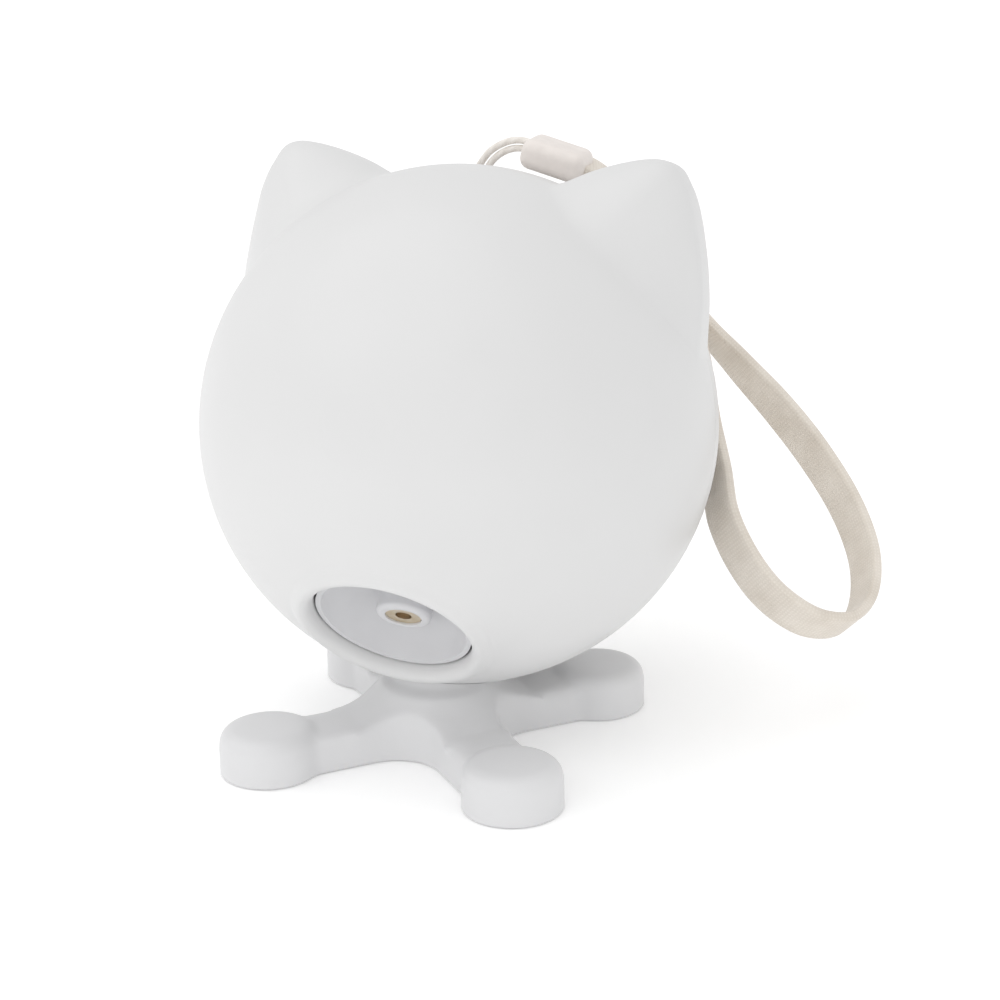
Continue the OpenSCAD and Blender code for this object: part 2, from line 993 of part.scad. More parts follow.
function tooth(n, k) =
    let (
        pitch_r = gear_module * n / 2,
        base_r = pitch_r * cos(pressure_angle),
        root_r = pitch_r - tooth_in * gear_module,
        tip_r = pitch_r + tooth_out * gear_module,
        half = 90 / n - backlash / pitch_r * 45 / PI,
        open = half + involute(base_r, pitch_r),
        low_r = max(base_r, root_r),
        mid = 360 * k / n,
        steps = [for (j = [0 : 4]) low_r + (tip_r - low_r) * j / 4]
    )
    concat(
        [root_r * [cos(mid - open), sin(mid - open)]],
        [for (r = steps) r * [cos(mid - open + involute(base_r, r)), sin(mid - open + involute(base_r, r))]],
        [for (j = [4 : -1 : 0])
            let (r = steps[j])
            r * [cos(mid + open - involute(base_r, r)), sin(mid + open - involute(base_r, r))]],
        [root_r * [cos(mid + open), sin(mid + open)]]
    );

module spur(n, h) {
    linear_extrude(h)
        polygon([for (k = [0 : n - 1]) each tooth(n, k)]);
}

module turret_gear() {
    color("#ece8dc")
        in_window()
            translate([0, 0, gear_z])
                difference() {
                    spur(turret_teeth, gear_face);
                    translate([0, 0, -1])
                        cylinder(h = gear_face + 2, r = neck_r + fit_gap);
                }
}

module slip_disc() {
    color("#c98a4b")
        in_window()
            translate([0, 0, neck_end_z - disc_t])
                difference() {
                    cylinder(h = disc_t, r = disc_r);
                    translate([0, 0, -1])
                        cylinder(h = 4, r = neck_bore_r);
                }
}

module idler_gear() {
    color("#ece8dc")
        in_window()
            translate([0, idler_x, 0])
                difference() {
                    union() {
                        translate([0, 0, wheel_z])
                            rotate([0, 0, 90])
                                spur(idler_teeth, gear_face);
                        translate([0, 0, pinion_z - 0.5])
                            rotate([0, 0, 180 / pinion_teeth - 90])
                                spur(pinion_teeth, gear_face + 0.5);
                    }
                    translate([0, 0, wheel_z - 1])
                        cylinder(h = 10, r = idler_pin_r + run_gap);
                }
}

module motor_pinion() {
    color("#c9a35a")
        in_window()
            translate([0, motor_x, 0]) {
                translate([0, 0, wheel_z])
                    rotate([0, 0, 180 / pinion_teeth - 90])
                        spur(pinion_teeth, gear_face);
                translate([0, 0, chassis_z - 7])
                    cylinder(h = wheel_z - chassis_z + 7 + step, r = motor_shaft_r);
            }
}

// Strap pin, across the recess
module strap_pin_rod(grow) {
    in_anchor()
        translate([-4, 0, -2.6])
            rotate([90, 0, 0])
                cylinder(h = 2 * recess_r + 1.6, r = strap_pin_r + grow, center = true);
}

module strap_pin() {
    color("silver")
        strap_pin_rod(0);
}

// Points on a smooth curve through hand-chosen places
function curve_point(p, i, t) =
    let (
        n = len(p),
        a = p[max(i - 1, 0)],
        b = p[i],
        c = p[min(i + 1, n - 1)],
        d = p[min(i + 2, n - 1)]
    )
    0.5 * (2 * b + (c - a) * t + (2 * a - 5 * b + 4 * c - d) * t * t
        + (3 * b - a - 3 * c + d) * t * t * t);

function curve(p, steps) = [
    for (i = [0 : len(p) - 2])
        for (j = [0 : steps - 1])
            curve_point(p, i, j / steps),
    p[len(p) - 1]
];

function unit(v) = v / norm(v);

// Route of the strap's middle line from the ball centre, out along its upper run and back below
strap_route = [
    [10, 24, 43.7], [17, 28, 40], [23, 33, 31], [27.5, 38, 20.5], [30.8, 41.4, 10.2],
    [37.9, 41.8, 2.3], [45.1, 41.1, -4.6], [52, 39.5, -11.7], [58.5, 36.5, -19.2],
    [63, 32.4, -25.7], [65.1, 27.6, -30.4], [65.3, 22.1, -33.8], [63.4, 16.6, -35],
    [58.6, 12, -33.3], [52.5, 10.4, -29], [47.2, 11.6, -23.6], [42.6, 15, -17.4],
    [38.9, 23.4, -12.5], [35, 30.6, -6], [32.6, 34.8, 2], [31, 35, 10], [28.5, 32.8, 19.2],
    [23.8, 30.5, 28], [17.4, 27.5, 35.4], [10, 24, 40.9]
];
// Route of the strap's cord from the block, round the pin and back
cord_route = [
    [6.2, 23.8, 43.9], [3.2, 23.8, 44.6], [0.5, 23.6, 44.2], [-2.3, 23.3, 42.6],
    [-4.2, 22.9, 40.2], [-5.3, 22.3, 37.8], [-5.75, 21.3, 35.5], [-4, 20.5, 33.8],
    [-2.25, 21.3, 35.5], [-2.9, 22.2, 37.5], [-2.8, 22.8, 39.5], [-1.5, 23.3, 41.4],
    [0.7, 23.6, 42.8], [3.2, 23.8, 43.2], [6.2, 23.8, 42.5]
];
// Direction across the strap at the block and out in the loop
clasp_len = 9.8;
clasp_tilt = 14;
strap_across_block = [0, 1, 0];
strap_across_loop = [-0.612, 0.401, -0.682];
function blend_at(i, n) =
    let (u = min(i, n - 1 - i) / (n - 1) * 3.4, c = min(u, 1))
    c * c * (3 - 2 * c);

module in_ball() {
    in_head()
        rotate([head_tilt, 0, 0])
            children();
}

function band_ring(points, i, w, t) =
    let (
        n = len(points),
        dir = unit(points[min(i + 1, n - 1)] - points[max(i - 1, 0)]),
        b = blend_at(i, n),
        raw = (1 - b) * strap_across_block + b * strap_across_loop,
        across = unit(raw - (raw * dir) * dir),
        up = cross(dir, across)
    )
    [for (q = [[1, 1], [-1, 1], [-1, -1], [1, -1]])
        points[i] + across * q[0] * w / 2 + up * q[1] * t / 2];

module hang_strap() {
    points = curve(strap_route, 3);
    color("#cdc5b8")
        in_ball()
            stack([for (i = [0 : len(points) - 1]) band_ring(points, i, strap_w, strap_t)]);
}

module strap_clasp() {
    color("#e3d9cf")
        in_ball()
            translate([9.8, 23.5, 41.9])
                rotate([90, clasp_tilt, 0])
                    translate([0, 0, -strap_w / 2])
                        round_block(clasp_len, clasp_t, strap_w, 2.2);
}

function tube_ring(points, i, r, sides) =
    let (
        n = len(points),
        dir = unit(points[min(i + 1, n - 1)] - points[max(i - 1, 0)]),
        a = unit(cross(dir, [0, 1, 0])),
        b = cross(dir, a)
    )
    [for (k = [0 : sides - 1])
        points[i] + r * cos(360 * k / sides) * a + r * sin(360 * k / sides) * b];

module lanyard_cord() {
    points = curve(cord_route, 2);
    color("#d8cdbd")
        in_ball()
            stack([for (i = [0 : len(points) - 1]) tube_ring(points, i, cord_r, 10)]);
}

// Stand
// A round puck whose top edge is rounded
module puck(r, h, edge) {
    hull() {
        cylinder(h = h - edge, r = r, $fn = 36);
        translate([0, 0, h - edge])
            rotate_extrude($fn = 36)
                translate([r - edge, 0])
                    circle(edge, $fn = 16);
    }
}

// A leg: a bar with a round top that ends in a taller, wider toe
module leg() {
    translate([toe_reach, 0, 0])
        puck(toe_r, toe_h, toe_round);
    hull()
        for (x = [leg_w, toe_reach - 1])
            translate([x, 0, 0])
                puck(leg_w / 2, leg_h, leg_round);
}

// The middle of the stand seen from above, with round crotches between the legs
module hub_plan() {
    arm = leg_w / 2 + crotch_r;
    difference() {
        square(2 * arm - 2.4, center = true);
        for (sx = [-1, 1])
            for (sy = [-1, 1])
                translate([sx * arm, sy * arm])
                    circle(crotch_r, $fn = 56);
    }
}

// The middle of the stand, whose edge is rounded and which sweeps up into the neck
module hub() {
    steps = 3;
    arm = leg_w / 2 + crotch_r;
    low = leg_h - leg_round;
    rotate([0, 0, 45]) {
        linear_extrude(low + step)
            hub_plan();
        for (i = [0 : steps - 1])
            let (
                a = 90 * i / steps,
                b = 90 * (i + 1) / steps,
                wide = 1 - leg_round * (1 - cos(a)) / arm,
                narrow = 1 - leg_round * (1 - cos(b)) / arm
            )
            translate([0, 0, low + leg_round * sin(a)])
                linear_extrude(leg_round * (sin(b) - sin(a)) + step, scale = narrow / wide)
                    scale(wide)
                        hub_plan();
    }
    top = leg_h + neck_fillet;
    rotate_extrude()
        difference() {
            square([neck_out_r + neck_fillet, top]);
            translate([neck_out_r + neck_fillet, top])
                circle(neck_fillet, $fn = 20);
        }
}

module neck() {
    intersection() {
        in_post()
            translate([0, 0, -2])
                cylinder(h = seat_z + 6, r = neck_out_r);
        translate([-far, -far, 2])
            cube(2 * far);
    }
}

// The hollow under the stand, with straight walls
module stand_hollow() {
    depth = leg_h - stand_wall;
    for (i = [0 : 3])
        rotate([0, 0, 45 + 90 * i]) {
            translate([0, -leg_w / 2 + stand_wall, -1])
                cube([toe_reach, leg_w - 2 * stand_wall, 1 + depth]);
            translate([toe_reach, 0, -1])
                cylinder(h = 1 + depth, r = toe_r - stand_wall);
        }
    translate([0, 0, -1])
        cylinder(h = 1 + depth, r = hub_hollow_r);
}

module each_leg() {
    for (i = [0 : 3])
        rotate([0, 0, 45 + 90 * i])
            children();
}

module stand_body() {
    color("#f2f2f4")
        difference() {
            union() {
                difference() {
                    union() {
                        each_leg()
                            leg();
                        hub();
                        neck();
                    }
                    stand_hollow();
                }
                stand_bosses();
            }
            in_head()
                sphere(head_r + seat_gap);
            in_post() {
                translate([0, 0, -far / 2])
                    cylinder(h = far, r = post_r + run_gap);
                translate([0, 0, collar_seat_z])
                    cylinder(h = far, r = collar_r + 0.2);
                translate([0, 0, bearing_z - 6])
                    cylinder(h = 6, r = washer_r + 0.4);
            }
            each_leg()
                translate([stand_screw_x, 0, 0])
                    cylinder(h = leg_h - 1.2, r = screw_r);
            translate([-far, -far, -far])
                cube([2 * far, 2 * far, far + pad_proud]);
        }
}

// The bearing for the post and the posts for the plate's screws
module stand_bosses() {
    base = pad_proud + cover_t;
    intersection() {
        in_post()
            translate([0, 0, bearing_z])
                cylinder(h = seat_z, r = post_r + 3);
        translate([-far, -far, base])
            cube(2 * far);
    }
    each_leg()
        translate([stand_screw_x, 0, base])
            cylinder(h = leg_h - stand_wall - base + 0.5, r = boss_r);
}

module stand_cover() {
    gap = 0.15;
    color("#e8e8ea")
        difference() {
            union() {
                each_leg() {
                    translate([0, -leg_w / 2 + stand_wall + gap, pad_proud])
                        cube([toe_reach, leg_w - 2 * stand_wall - 2 * gap, cover_t]);
                    translate([toe_reach, 0, pad_proud])
                        cylinder(h = cover_t, r = toe_r - stand_wall - gap);
                }
                translate([0, 0, pad_proud])
                    cylinder(h = cover_t, r = hub_hollow_r - gap);
            }
            translate([0, 0, -1])
                cylinder(h = 5, r = 6.4);
            each_leg() {
                translate([toe_reach, 0, -1])
                    cylinder(h = 1 + pad_t, r = pad_r + 0.1);
                translate([stand_screw_x, 0, -1])
                    cylinder(h = 5, r = screw_r + 0.15);
                translate([stand_screw_x, 0, -1])
                    cylinder(h = 2, r = screw_head_r + 0.15);
            }
        }
}

module stand_screws() {
    color("silver")
        each_leg()
            translate([stand_screw_x, 0, 1])
                rotate([180, 0, 0])
                    screw(screw_r, 4.2, screw_head_r, 0.6);
}

module foot_pads() {
    color("#4a4a4c") {
        each_leg()
            translate([toe_reach, 0, 0])
                cylinder(h = pad_t, r = pad_r);
        cylinder(h = pad_t, r = 6.2);
    }
}

module swivel_post() {
    color("#c8c8cc")
        in_post()
            difference() {
                union() {
                    translate([0, 0, bearing_z])
                        cylinder(h = collar_seat_z - bearing_z + step, r = post_r);
                    translate([0, 0, collar_seat_z])
                        cylinder(h = collar_t, r = collar_r);
                    translate([0, 0, seat_z - step])
                        post_shape(post_reach + ball_bottom - seat_z - 0.4, 0);
                }
                translate([0, 0, bearing_z - 1])
                    cylinder(h = 9, r = post_screw_r);
            }
}

module post_washer() {
    color("silver")
        in_post()
            translate([0, 0, bearing_z - washer_t])
                difference() {
                    cylinder(h = washer_t, r = washer_r);
                    translate([0, 0, -1])
                        cylinder(h = 3, r = post_screw_r + fit_gap);
                }
}

module post_screw() {
    color("silver")
        in_post()
            translate([0, 0, bearing_z - washer_t])
                rotate([180, 0, 0])
                    screw(post_screw_r, 7, 2.6, 1);
}

front_shell();
rear_shell();
shell_screws();
socket_bush();
chassis();
chassis_screws();
motor_can();
motor_cap();
motor_screws();
idler_pin();
contact_brushes();
main_board();
board_screws();
board_chips();
switch_board();
tact_switch();
battery_box();
battery_cells();
cell_springs();
cell_contacts();
strap_pin();
turret();
laser_barrel();
laser_lens();
turret_gear();
slip_disc();
idler_gear();
motor_pinion();
power_button();
switch_plunger();
battery_door();
door_screw();
hang_strap();
strap_clasp();
lanyard_cord();
stand_body();
stand_cover();
stand_screws();
foot_pads();
swivel_post();
post_washer();
post_screw();
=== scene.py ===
import bpy, bmesh, math
import numpy as np
from mathutils import Matrix, Vector


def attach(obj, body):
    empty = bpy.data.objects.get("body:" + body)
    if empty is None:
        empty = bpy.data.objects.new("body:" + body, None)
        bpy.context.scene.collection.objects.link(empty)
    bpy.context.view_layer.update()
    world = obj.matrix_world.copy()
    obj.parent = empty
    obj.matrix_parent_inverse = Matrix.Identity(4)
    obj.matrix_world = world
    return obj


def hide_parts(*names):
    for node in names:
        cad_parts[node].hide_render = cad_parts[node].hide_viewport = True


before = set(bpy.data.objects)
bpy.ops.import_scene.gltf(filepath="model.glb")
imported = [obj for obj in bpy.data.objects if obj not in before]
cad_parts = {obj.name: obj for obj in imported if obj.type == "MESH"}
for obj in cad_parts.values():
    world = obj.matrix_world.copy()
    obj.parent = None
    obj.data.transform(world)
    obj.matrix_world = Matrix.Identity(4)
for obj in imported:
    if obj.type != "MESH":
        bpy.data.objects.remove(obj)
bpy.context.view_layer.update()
print("frame loaded")

mm = 0.001
bpy.ops.object.select_all(action="DESELECT")

# the head leans back on a post that starts a little above the ground
headFrame = {
    "tilt": 15.0,          # degrees the head leans back
    "postBase": 3.7,       # mm, where the post's axis crosses the middle
    "rise": 50.2,          # mm from there to the ball's centre
    "ballRadius": 44.0,    # mm
    "seamBack": 4.4,       # mm, the parting line behind the ball's middle
    "windowDrop": 53.3,    # degrees the window looks down, in the head
}
tilt = math.radians(headFrame["tilt"])
ballCentre = Vector((
    0.0,
    headFrame["rise"] * math.sin(tilt),
    headFrame["postBase"] + headFrame["rise"] * math.cos(tilt),
)) * mm
headMatrix = Matrix.Translation(ballCentre) @ Matrix.Rotation(-tilt, 4, "X")
windowMatrix = headMatrix @ Matrix.Rotation(math.radians(90 + headFrame["windowDrop"]), 4, "X")
postMatrix = Matrix.Translation((0, 0, headFrame["postBase"] * mm)) @ Matrix.Rotation(-tilt, 4, "X")

view = {
    "focalPixels": 2344.0,   # in a picture of pictureSide by pictureSide
    "pictureSide": 1000,
    "sensor": 36.0,          # mm
    "distance": 386.0,       # mm
    "turn": 20.83,           # degrees to the right of straight ahead
    "height": 18.96,         # degrees above level
    "roll": -1.0,            # degrees
    "target": (12.09, 0.0, 44.14),   # mm
    "clip": (0.01, 20.0),    # m
}


def placeCamera():
    turn, up = math.radians(view["turn"]), math.radians(view["height"])
    back = Vector((math.sin(turn) * math.cos(up), -math.cos(turn) * math.cos(up), math.sin(up)))
    right = Vector((math.cos(turn), math.sin(turn), 0))
    top = back.cross(right)
    roll = math.radians(view["roll"])
    rightRolled = right * math.cos(roll) + top * math.sin(roll)
    topRolled = top * math.cos(roll) - right * math.sin(roll)
    bpy.ops.object.camera_add(location=(Vector(view["target"]) + back * view["distance"]) * mm)
    camera = bpy.context.object
    camera.name = "photoCamera"
    camera.rotation_euler = Matrix((rightRolled, topRolled, back)).transposed().to_euler()
    camera.data.sensor_width = view["sensor"]
    camera.data.lens = view["focalPixels"] / view["pictureSide"] * view["sensor"]
    camera.data.clip_start, camera.data.clip_end = view["clip"]
    bpy.context.scene.camera = camera


placeCamera()
print("camera placed")


# an sRGB colour such as #d8d8d8, turned to the linear values that the shaders take
def hexColour(text):
    parts = [int(text[i:i + 2], 16) / 255 for i in (1, 3, 5)]
    return tuple(c / 12.92 if c <= 0.04045 else ((c + 0.055) / 1.055) ** 2.4 for c in parts) + (1.0,)


def addNode(tree, kind, settings=None, links=None):
    node = tree.nodes.new(kind)
    for key, value in (settings or {}).items():
        if isinstance(key, str) and hasattr(node, key):
            setattr(node, key, value)
        else:
            node.inputs[key].default_value = value
    for key, source in (links or {}).items():
        tree.links.new(source, node.inputs[key])
    return node


def newMaterial(name, **settings):
    material = bpy.data.materials.new(name)
    material.use_nodes = True
    tree = material.node_tree
    shader = tree.nodes["Principled BSDF"]
    for key, value in settings.items():
        shader.inputs[key.replace("_", " ")].default_value = value
    return material, tree, shader


def objectPlaces(tree):
    return addNode(tree, "ShaderNodeTexCoord").outputs["Object"]


# the shader's colour runs from one tone to the other as the source rises from one level to the other
def twoTones(tree, shader, source, first, second, low=0.0, high=1.0):
    ramp = addNode(tree, "ShaderNodeValToRGB", {}, {"Fac": source})
    ends = ramp.color_ramp.elements
    ends[0].position, ends[1].position = low, high
    ends[0].color, ends[1].color = hexColour(first), hexColour(second)
    tree.links.new(ramp.outputs["Color"], shader.inputs["Base Color"])


# a colour that drifts a little between two tones, over patches of a real size in mm
def driftColour(tree, shader, first, second, patch, places):
    noise = addNode(tree, "ShaderNodeTexNoise", {"Scale": 1 / (patch * mm), "Detail": 2.0}, {"Vector": places})
    twoTones(tree, shader, noise.outputs["Fac"], first, second, 0.35, 0.65)


def addRelief(tree, shader, source, height, strength):
    bump = addNode(tree, "ShaderNodeBump", {"Strength": strength, "Distance": height * mm}, {"Height": source})
    tree.links.new(bump.outputs["Normal"], shader.inputs["Normal"])


# a fine relief of a real grain size and height in mm, whose levels the roughness can follow
def grainRelief(tree, shader, grain, height, places, strength, detail=3.0):
    noise = addNode(tree, "ShaderNodeTexNoise", {"Scale": 1 / (grain * mm), "Detail": detail}, {"Vector": places})
    addRelief(tree, shader, noise.outputs["Fac"], height, strength)
    return noise.outputs["Fac"]


def roughnessRange(tree, shader, source, low, high):
    spread = addNode(tree, "ShaderNodeMapRange", {"To Min": low, "To Max": high}, {0: source})
    tree.links.new(spread.outputs["Result"], shader.inputs["Roughness"])


# moulded ABS and its like: a close, satin gloss with the faint waviness of a polished mould
def mouldedAbs(name, first, second, rough, patch=26.0):
    material, tree, shader = newMaterial(name, IOR=1.52)
    places = objectPlaces(tree)
    driftColour(tree, shader, first, second, patch, places)
    fine = grainRelief(tree, shader, 0.35, 0.004, places, 0.25)
    roughnessRange(tree, shader, fine, rough - 0.03, rough + 0.05)
    return material


# turned brass: fine marks from the lathe, warm and a little dull from handling
def turnedBrass():
    material, tree, shader = newMaterial("turned brass", Metallic=1.0)
    places = objectPlaces(tree)
    driftColour(tree, shader, "#d8c7a8", "#e2d6c0", 1.6, places)
    fine = grainRelief(tree, shader, 0.25, 0.01, places, 0.3, 2.0)
    roughnessRange(tree, shader, fine, 0.24, 0.4)
    return material


# rolled or plated steel: brushed by its making, with short pale streaks
def platedSteel(name, first, second, rough):
    material, tree, shader = newMaterial(name, Metallic=1.0)
    places = objectPlaces(tree)
    driftColour(tree, shader, first, second, 3.0, places)
    streaks = addNode(tree, "ShaderNodeMapping", {"Scale": (1.0, 1.0, 9.0)}, {"Vector": places})
    fine = grainRelief(tree, shader, 0.5, 0.006, streaks.outputs["Vector"], 0.4)
    roughnessRange(tree, shader, fine, rough - 0.05, rough + 0.1)
    return material


# glass epoxy laminate under solder mask: green, glossy, with the weave showing faintly through
def boardLaminate():
    material, tree, shader = newMaterial("solder masked laminate", IOR=1.5, Roughness=0.3)
    places = objectPlaces(tree)
    driftColour(tree, shader, "#1f5a3a", "#2b6e49", 2.0, places)
    weave = addNode(tree, "ShaderNodeTexChecker", {"Scale": 1 / (0.8 * mm)}, {"Vector": places})  # 0.8 mm squares
    addRelief(tree, shader, weave.outputs["Fac"], 0.01, 0.15)
    return material


oneBand = 0.314  # the wave texture's scale at which its bands lie one unit apart


# woven cotton tape: round warp threads over and under a fine weft, matt, with a soft bloom of loose fibre
def wovenTape():
    warpSpacing, weftSpacing = 0.62, 0.5  # mm, drawn half as coarse again as cotton tape so that it shows
    material, tree, shader = newMaterial(
        "woven cotton tape", Roughness=0.86, Sheen_Weight=0.25, Sheen_Roughness=0.5)
    pattern = addNode(tree, "ShaderNodeUVMap", {"uv_map": "strapRun"}).outputs["UV"]
    places = objectPlaces(tree)
    scale = (1 / warpSpacing, 1 / weftSpacing, 1.0)
    threads = addNode(tree, "ShaderNodeMapping", {"Scale": scale}, {"Vector": pattern}).outputs["Vector"]
    bands = {"wave_type": "BANDS", "wave_profile": "SIN", "Scale": oneBand, "Distortion": 0.6, "Detail": 1.0}
    warp = addNode(tree, "ShaderNodeTexWave", {**bands, "bands_direction": "Y"}, {"Vector": threads})
    weft = addNode(tree, "ShaderNodeTexWave", {**bands, "bands_direction": "X"}, {"Vector": threads})
    crossing = addNode(tree, "ShaderNodeMath", {"operation": "MULTIPLY"},
                       {0: warp.outputs["Fac"], 1: weft.outputs["Fac"]}).outputs["Value"]
    fibre = addNode(tree, "ShaderNodeTexNoise", {"Scale": 1 / (0.3 * mm), "Detail": 4.0}, {"Vector": places})
    height = addNode(tree, "ShaderNodeMath", {"operation": "MULTIPLY_ADD", 1: 0.5},
                     {0: fibre.outputs["Fac"], 2: crossing})
    addRelief(tree, shader, height.outputs["Value"], 0.12, 0.55)
    tone = addNode(tree, "ShaderNodeTexNoise", {"Scale": 1 / (6 * mm), "Detail": 2.0}, {"Vector": places})
    # the tone mixes a random drift with painted shade: darker where the threads dip under each other, following the
    # weave's relief
    weaveShadeAndTone = addNode(tree, "ShaderNodeMath", {"operation": "MULTIPLY_ADD", 1: 0.35},
                   {0: crossing, 2: tone.outputs["Fac"]})
    twoTones(tree, shader, weaveShadeAndTone.outputs["Value"], "#d5ccc0", "#e8e1d7", 0.3, 0.95)
    return material


# laid cotton cord: two plies wound round each other, pale and matt
def laidCord():
    twistLength = 1.1  # mm
    material, tree, shader = newMaterial(
        "laid cotton cord", Roughness=0.82, Sheen_Weight=0.3, Sheen_Roughness=0.5)
    pattern = addNode(tree, "ShaderNodeUVMap", {"uv_map": "cordRun"}).outputs["UV"]
    run = addNode(tree, "ShaderNodeMapping", {"Scale": (1 / twistLength, 1.0, 1.0)}, {"Vector": pattern})
    bands = {"wave_type": "BANDS", "bands_direction": "DIAGONAL", "wave_profile": "SIN",
             "Scale": oneBand, "Distortion": 0.4}
    plies = addNode(tree, "ShaderNodeTexWave", bands, {"Vector": run.outputs["Vector"]}).outputs["Fac"]
    addRelief(tree, shader, plies, 0.12, 0.6)
    # the colour follows the plies' relief: painted shade, darker in the grooves between the plies and lighter on
    # their crests
    twoTones(tree, shader, plies, "#e6e0d9", "#efeae4")
    return material


# moulded silicone rubber: soft edged highlights and a faint powdery bloom
def mouldedRubber(name, first, second, rough):
    material, tree, shader = newMaterial(name, IOR=1.42, Sheen_Weight=0.1, Sheen_Roughness=0.4)
    places = objectPlaces(tree)
    driftColour(tree, shader, first, second, 2.5, places)
    fine = grainRelief(tree, shader, 0.22, 0.008, places, 0.4)
    roughnessRange(tree, shader, fine, rough - 0.05, rough + 0.06)
    return material


# pressed and coated lens glass: a small warm glint, duller than a mirror
def coatedGlass():
    return newMaterial(
        "coated lens glass", Base_Color=hexColour("#a89484"), Roughness=0.2, IOR=1.5, Coat_Weight=0.6)[0]


finishes = {
    "shellWhite": mouldedAbs("moulded white ABS", "#d8d8d8", "#dadada", 0.38),
    "standWhite": mouldedAbs("moulded white ABS of the stand", "#d8d8d9", "#dadadb", 0.4),
    "innerWhite": mouldedAbs("moulded natural ABS", "#dedddb", "#e6e5e3", 0.45, 9.0),
    "bowlGrey": mouldedAbs("moulded pale grey ABS", "#d1d1d3", "#d5d5d7", 0.36, 8.0),
    "gearIvory": mouldedAbs("moulded acetal", "#e6e1d3", "#ede9dd", 0.38, 5.0),
    "blackPlastic": mouldedAbs("moulded black nylon", "#1a1a1c", "#242427", 0.42, 4.0),
    "cellWrap": mouldedAbs("shrunk vinyl sleeve", "#26292e", "#31353b", 0.25, 6.0),
    "brass": turnedBrass(),
    "steel": platedSteel("zinc plated steel", "#b9babd", "#cfd0d3", 0.3),
    "canSteel": platedSteel("drawn steel can", "#a4a7ab", "#bcbfc3", 0.35),
    "copper": platedSteel("rolled copper", "#b0743f", "#c68c58", 0.3),
    "board": boardLaminate(),
    "tape": wovenTape(),
    "cord": laidCord(),
    "clasp": mouldedRubber("moulded silicone rubber", "#e2dbd6", "#e8e1dc", 0.46),
    "pad": mouldedRubber("moulded foot rubber", "#38383a", "#434346", 0.7),
    "lens": coatedGlass(),
}

nodeFinishes = {
    "front_shell": "shellWhite", "rear_shell": "shellWhite", "shell_screws": "steel",
    "socket_bush": "innerWhite", "chassis": "innerWhite", "chassis_screws": "steel",
    "motor_can": "canSteel", "motor_cap": "blackPlastic", "motor_screws": "steel",
    "idler_pin": "steel", "contact_brushes": "copper", "main_board": "board",
    "board_screws": "steel", "board_chips": "blackPlastic", "switch_board": "board",
    "tact_switch": "blackPlastic", "battery_box": "innerWhite", "battery_cells": "cellWrap",
    "cell_springs": "steel", "cell_contacts": "steel", "strap_pin": "steel",
    "turret": "bowlGrey", "laser_barrel": "brass", "laser_lens": "lens",
    "turret_gear": "gearIvory", "slip_disc": "copper", "idler_gear": "gearIvory",
    "motor_pinion": "brass", "power_button": "bowlGrey", "switch_plunger": "blackPlastic",
    "battery_door": "shellWhite", "door_screw": "steel", "stand_body": "standWhite",
    "stand_cover": "innerWhite", "stand_screws": "steel", "foot_pads": "pad",
    "swivel_post": "canSteel", "post_washer": "steel", "post_screw": "steel",
    "hang_strap": "tape", "strap_clasp": "clasp", "lanyard_cord": "cord",
}
for name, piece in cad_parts.items():
    piece.data.materials.clear()
    piece.data.materials.append(finishes[nodeFinishes[name]])
print("materials made")


def freshStart():
    if bpy.context.object and bpy.context.object.mode != "OBJECT":
        bpy.ops.object.mode_set(mode="OBJECT")
    bpy.ops.object.select_all(action="DESELECT")


def chosen(piece):
    freshStart()
    piece.select_set(True)
    bpy.context.view_layer.objects.active = piece


# turns a piece from its working place to its real place and leaves its object at the origin
def settle(piece, matrix=None):
    chosen(piece)
    if matrix is not None:
        piece.matrix_world = matrix @ piece.matrix_world
    bpy.ops.object.transform_apply(location=True, rotation=True, scale=True)


def applyModifier(piece, kind, **settings):
    chosen(piece)
    modifier = piece.modifiers.new(kind.lower(), kind)
    for key, value in settings.items():
        setattr(modifier, key, value)
    bpy.ops.object.modifier_apply(modifier=modifier.name)


def cutAway(piece, cutter):
    applyModifier(piece, "BOOLEAN", operation="DIFFERENCE", object=cutter, solver="EXACT")
    bpy.data.objects.remove(cutter)


# smooth is the angle in degrees up to which an edge is shaded round
def finish(piece, name, material, body, replaced, smooth):
    piece.name = name
    piece.data.name = name
    piece.data.materials.clear()
    piece.data.materials.append(finishes[material])
    chosen(piece)
    bpy.ops.object.shade_smooth_by_angle(angle=math.radians(smooth))
    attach(piece, body)
    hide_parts(*replaced)


# selects the edges that pass a test, in edit mode
def pickEdges(piece, test):
    bpy.ops.mesh.select_all(action="DESELECT")
    mesh = bmesh.from_edit_mesh(piece.data)
    for edge in mesh.edges:
        edge.select = test(edge)
    mesh.select_flush_mode()
    bmesh.update_edit_mesh(piece.data)


# takes out what cuts leave over: edges and faces without size, and triangles that lie back to back
def dropSlivers(piece):
    least = 2e-6  # m
    chosen(piece)
    bpy.ops.object.mode_set(mode="EDIT")
    bpy.ops.mesh.select_all(action="SELECT")
    bpy.ops.mesh.remove_doubles(threshold=least)
    bpy.ops.mesh.dissolve_degenerate(threshold=least)
    bpy.ops.mesh.quads_convert_to_tris(quad_method="BEAUTY", ngon_method="BEAUTY")
    mesh = bmesh.from_edit_mesh(piece.data)
    sheets = {}
    for face in mesh.faces:
        sheets.setdefault(frozenset(corner.index for corner in face.verts), []).append(face)
    doubled = [face for pair in sheets.values() if len(pair) > 1 for face in pair]
    bmesh.ops.delete(mesh, geom=doubled, context="FACES")
    bmesh.update_edit_mesh(piece.data)
    bpy.ops.mesh.select_all(action="SELECT")
    bpy.ops.mesh.delete_loose()
    bpy.ops.object.mode_set(mode="OBJECT")


